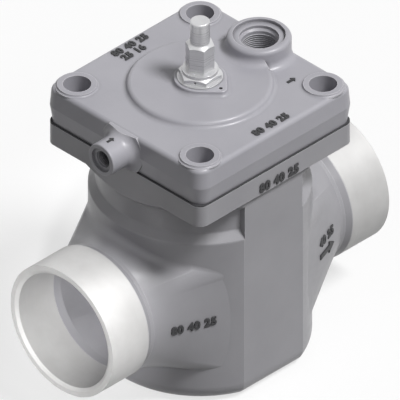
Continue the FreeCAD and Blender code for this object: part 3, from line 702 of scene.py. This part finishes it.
# %% [markdown]
# ## A white floor that keeps a soft shadow
# The valve stands on white. More light would turn the floor white but would bleach the valve as
# well. So the floor looks white only to the camera, to mirrors and to glass, which Light Path
# tells apart, and a share of plain glow lifts the valve's shadow on it. To soft light the floor
# is darker, so it doesn't wash out the shaded sides.

# %% Floor
WHITE = 0.96
SHADOW_LIFT = 0.7
FLOOR_BOUNCE = 0.12
FLOOR_ROUGHNESS = 0.9
FLOOR_HALF = 6.0
FLOOR_GAP = 0.2 * MM


def seen_directly(tree):
    """1 for camera, mirror and glass rays, 0 for soft light."""
    path = add_node(tree, "ShaderNodeLightPath", {})
    seen = path.outputs["Is Camera Ray"]
    for ray in ("Is Glossy Ray", "Is Transmission Ray"):
        both = {0: seen, 1: path.outputs[ray]}
        total = add_node(tree, "ShaderNodeMath", both, operation="ADD", use_clamp=True)
        seen = total.outputs["Value"]
    return seen


def floor_finish():
    material, tree, shader = start_material("studio_floor")
    seen = seen_directly(tree)
    shade = mixed(tree, seen, (FLOOR_BOUNCE,) * 3, (WHITE,) * 3)
    matt_white = {"Base Color": shade, "Roughness": FLOOR_ROUGHNESS, "Specular IOR Level": 0.0}
    give(tree, shader, matt_white)
    glow = add_node(tree, "ShaderNodeEmission", {"Strength": 1.0})
    lift = add_node(tree, "ShaderNodeMixShader", {
        "Fac": spread(tree, seen, FULL_RANGE, (0.0, SHADOW_LIFT)),
        1: shader.outputs["BSDF"],
        2: glow.outputs["Emission"],
    })
    give(tree, tree.nodes["Material Output"], {"Surface": lift.outputs["Shader"]})
    return material


floor_mesh = bpy.data.meshes.new("studio_floor")
corners = [(-1, -1), (1, -1), (1, 1), (-1, 1)]
floor_corners = [(x * FLOOR_HALF, y * FLOOR_HALF, -FLOOR_GAP) for x, y in corners]
floor_mesh.from_pydata(floor_corners, [], [(0, 1, 2, 3)])
floor_mesh.materials.append(floor_finish())
floor = bpy.data.objects.new("studio_floor", floor_mesh)
bpy.context.scene.collection.objects.link(floor)
floor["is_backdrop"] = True
print("the floor is", 2 * FLOOR_HALF, "m wide")

# %% [markdown]
# ## Sky
# The sky lights the valve from all round, and it is the white that shows above the floor. One
# strength can't serve both, because a sky that looks white also fills the shade. So it is white
# to the camera and in reflections and gives only a little soft light, as the floor does.

# %% Sky
SKY_BOUNCE = 0.10
PURE_WHITE = (1.0, 1.0, 1.0, 1.0)

world = bpy.data.worlds.new("studio_sky")
bpy.context.scene.world = world
world.use_nodes = True
sky = world.node_tree
sky_strength = spread(sky, seen_directly(sky), FULL_RANGE, (SKY_BOUNCE, 1.0))
give(sky, sky.nodes["Background"], {"Strength": sky_strength, "Color": PURE_WHITE})
print("the sky's soft light:", SKY_BOUNCE)

# %% [markdown]
# ## Lamps
# The photo has three plain tones: a light top, a middle front and a dark inlet side. Area lamps
# would give them soft borders, while a sun lights every face of one direction alike, as here.
# The key sun makes the top and front, and a weak sun from near the camera opens the shade. Both
# miss the far wall of the inlet's bore, so a narrow spot lamp looks in through the mouth.

# %% Two suns and a spot lamp
PLAIN_LIGHT = math.pi
SPOT_LEVEL = 4.0
SPOT_DISTANCE = 0.8
SPOT_SHARE = 0.72
SPOT_SIZE = 0.05
SPOT_SOFTNESS = 0.35
BORE_SPOT = Vector((0.0, 0.40, -0.30))


def place_lamp(name, lamp, towards, location=(0.0, 0.0, 0.0)):
    """Turns a lamp so that its light comes from the direction towards."""
    placed = bpy.data.objects.new(name, lamp)
    placed.location = location
    placed.rotation_euler = Vector(towards).to_track_quat("Z", "Y").to_euler()
    bpy.context.scene.collection.objects.link(placed)
    print(name, "gives", round(lamp.energy, 2))


def make_sun(name, towards, strength, softness):
    lamp = bpy.data.lights.new(name, "SUN")
    lamp.energy = strength * PLAIN_LIGHT
    lamp.angle = math.radians(softness)
    place_lamp(name, lamp, towards)


def make_spot(name, target, towards, radius):
    """A lamp that lights only a disc of the given radius round its target."""
    lamp = bpy.data.lights.new(name, "SPOT")
    lamp.energy = SPOT_LEVEL * PLAIN_LIGHT * 4 * math.pi * SPOT_DISTANCE**2
    lamp.shadow_soft_size = SPOT_SIZE
    lamp.spot_size = 2 * math.atan(radius / SPOT_DISTANCE)
    lamp.spot_blend = SPOT_SOFTNESS
    place_lamp(name, lamp, towards, target + Vector(towards).normalized() * SPOT_DISTANCE)


make_sun("key_sun", towards=(0.16, -0.50, 0.85), strength=0.89, softness=16)
make_sun("camera_side_sun", towards=(-0.5, -1.0, 1.0), strength=0.12, softness=20)
far_wall = Vector(mounts["inlet_bore"]["pos_m"]) + BORE_SPOT * pipe_radius
make_spot("inlet_spot", far_wall, towards=(-1.0, -0.75, 0.55), radius=SPOT_SHARE * pipe_radius)
bpy.context.scene.view_settings.view_transform = "Standard"

# %% [markdown]
# ## Camera
# In the photo all three axes look equally long and nothing tapers, which makes it a true
# isometric view. A long lens from far away comes close to that, but an orthographic camera is
# exact. It looks along the diagonal of a cube, and its scale is the width of the view in metres.

# %% Camera
VIEW_WIDTH = 246.6 * MM
VIEW_CENTRE = Vector((0.0, 0.0, 104.8 * MM))
VIEW_FROM = Vector((-1.0, -1.0, 1.0)).normalized()
VIEW_DISTANCE = 1.5

lens = bpy.data.cameras.new("isometric_camera")
lens.type = "ORTHO"
lens.ortho_scale = VIEW_WIDTH
camera = bpy.data.objects.new("isometric_camera", lens)
camera.location = VIEW_CENTRE + VIEW_FROM * VIEW_DISTANCE
camera.rotation_euler = VIEW_FROM.to_track_quat("Z", "Y").to_euler()
bpy.context.scene.collection.objects.link(camera)
bpy.context.scene.camera = camera
print("the camera sees", round(VIEW_WIDTH / MM, 1), "mm across")

# %% [markdown]
# Looking at a picture wouldn't show a millimetre, so the box round the dressed valve, solids and
# added pieces together, is written out in millimetres.

# %% Finish
dressed_sides = [(high - low) / MM for low, high in zip(*as_lists(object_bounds()))]
print("the dressed valve measures", [round(side, 1) for side in dressed_sides], "mm")
